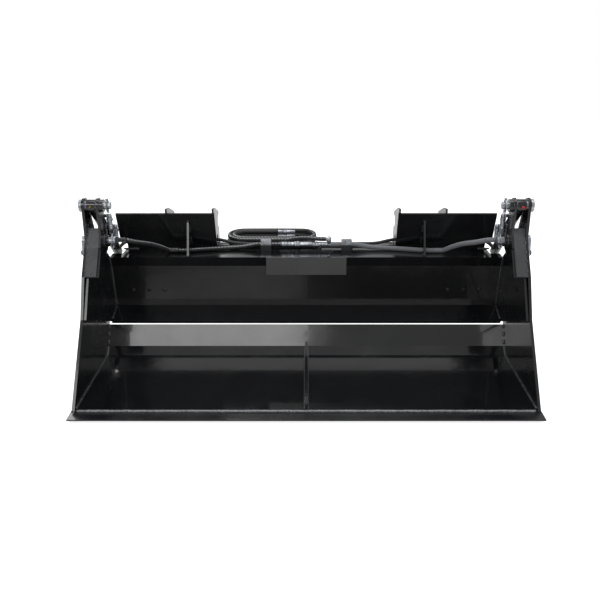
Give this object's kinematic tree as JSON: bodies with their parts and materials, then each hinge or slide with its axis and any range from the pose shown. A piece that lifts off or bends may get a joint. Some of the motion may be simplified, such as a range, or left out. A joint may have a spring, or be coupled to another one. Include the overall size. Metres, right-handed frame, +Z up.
{
  "type": "loader bucket",
  "caption": "Black multi-purpose loader bucket: a hinged clam shell with cutting edge closes on a fixed moldboard, moved by side rams fed by hoses on its top flange.",
  "frame": {"origin": "middle of the footprint, on the ground under the cutting edge", "axes": "+X to the right along the cutting edge, +Y from the lip to the hitch, +Z up"},
  "size_m": [1.658, 0.8995, 0.674],
  "materials": {
    "black_paint": "gloss black paint",
    "edge_paint": "gloss black paint over a thick steel bar",
    "cover_paint": "gloss black paint with bright reflections",
    "zinc": "bright zinc plate",
    "bush_steel": "bare machined steel",
    "barrel_paint": "gloss black paint",
    "rod_chrome": "hard chrome",
    "dark_bolt": "black oxide",
    "clamp_plastic": "dark moulded plastic",
    "hose_rubber": "smooth black hose cover"
  },
  "bodies": {
    "blade": {"moldboard": "black_paint", "moldboard_blade": "black_paint", "wing_left": "black_paint", "wing_right": "black_paint", "pivot_bushes": "bush_steel", "badge_plate": "black_paint", "moldboard_bolts": "dark_bolt", "rear_channel": "black_paint", "rod_lugs_left": "black_paint", "rod_lugs_right": "black_paint", "hitch_plate_left": "black_paint", "hitch_plate_right": "black_paint", "hitch_rib_left_in": "black_paint", "hitch_rib_left_out": "black_paint", "hitch_rib_right_in": "black_paint", "hitch_rib_right_out": "black_paint", "hitch_crossbar": "black_paint", "plate_gussets": "black_paint", "clamp_blocks": "clamp_plastic", "clamp_tops": "zinc", "centre_fittings": "zinc", "hose_main_left": "hose_rubber", "hose_main_right": "hose_rubber", "hose_return_left": "hose_rubber", "hose_return_right": "hose_rubber", "hose_main_left_end": "hose_rubber", "hose_main_right_end": "hose_rubber", "hose_return_left_end": "hose_rubber", "hose_return_right_end": "hose_rubber", "supply_lead_low": "hose_rubber", "supply_lead_high": "hose_rubber", "supply_coil_low": "hose_rubber", "supply_coil_high": "hose_rubber", "supply_couplers": "zinc"},
    "clam": {"cutting_edge": "edge_paint", "bowl_sheet": "black_paint", "centre_rib": "black_paint", "heel_strip": "edge_paint", "side_plate_left": "black_paint", "side_plate_right": "black_paint", "lever_plate_left": "black_paint", "lever_plate_right": "black_paint", "lever_cover_left": "cover_paint", "lever_cover_right": "cover_paint", "pivot_pin_left": "zinc", "pivot_pin_right": "zinc", "ram_pin_left": "zinc", "ram_pin_right": "zinc", "linch_pins": "zinc", "flag_bolts": "dark_bolt"},
    "barrel_left": {"barrel_left": "barrel_paint", "gland_left": "bush_steel", "barrel_fittings_left": "zinc"},
    "rod_left": {"rod_left": "rod_chrome", "rod_pin_left": "zinc"},
    "barrel_right": {"barrel_right": "barrel_paint", "gland_right": "bush_steel", "barrel_fittings_right": "zinc"},
    "rod_right": {"rod_right": "rod_chrome", "rod_pin_right": "zinc"}
  },
  "joints": [
    {"name": "clam_open", "type": "hinge", "parent": "blade", "child": "clam", "pos_m": [0, 0.024, 0.508], "axis": [-1, 0, 0], "range_deg": [0, 50], "deforming": ["hose_main_left_end", "hose_main_right_end", "hose_return_left_end", "hose_return_right_end"]},
    {"name": "barrel_left_swing", "type": "hinge", "parent": "clam", "child": "barrel_left", "pos_m": [-0.7695, 0.004, 0.646], "axis": [-1, 0, 0], "range_deg": [-43, 0]},
    {"name": "rod_left_stroke", "type": "slide", "parent": "barrel_left", "child": "rod_left", "axis": [0, 0.7236, -0.6903], "range_m": [-0.098, 0]},
    {"name": "barrel_right_swing", "type": "hinge", "parent": "clam", "child": "barrel_right", "pos_m": [0.7695, 0.004, 0.646], "axis": [-1, 0, 0], "range_deg": [-43, 0]},
    {"name": "rod_right_stroke", "type": "slide", "parent": "barrel_right", "child": "rod_right", "axis": [0, 0.7236, -0.6903], "range_m": [-0.098, 0]}
  ],
  "couplings": [
    {"joint": "barrel_left_swing", "follows": "clam_open", "ratio": -0.84728},
    {"joint": "rod_left_stroke", "follows": "clam_open", "m_per_rad": -0.11146},
    {"joint": "barrel_right_swing", "follows": "clam_open", "ratio": -0.84728},
    {"joint": "rod_right_stroke", "follows": "clam_open", "m_per_rad": -0.11146}
  ]
}
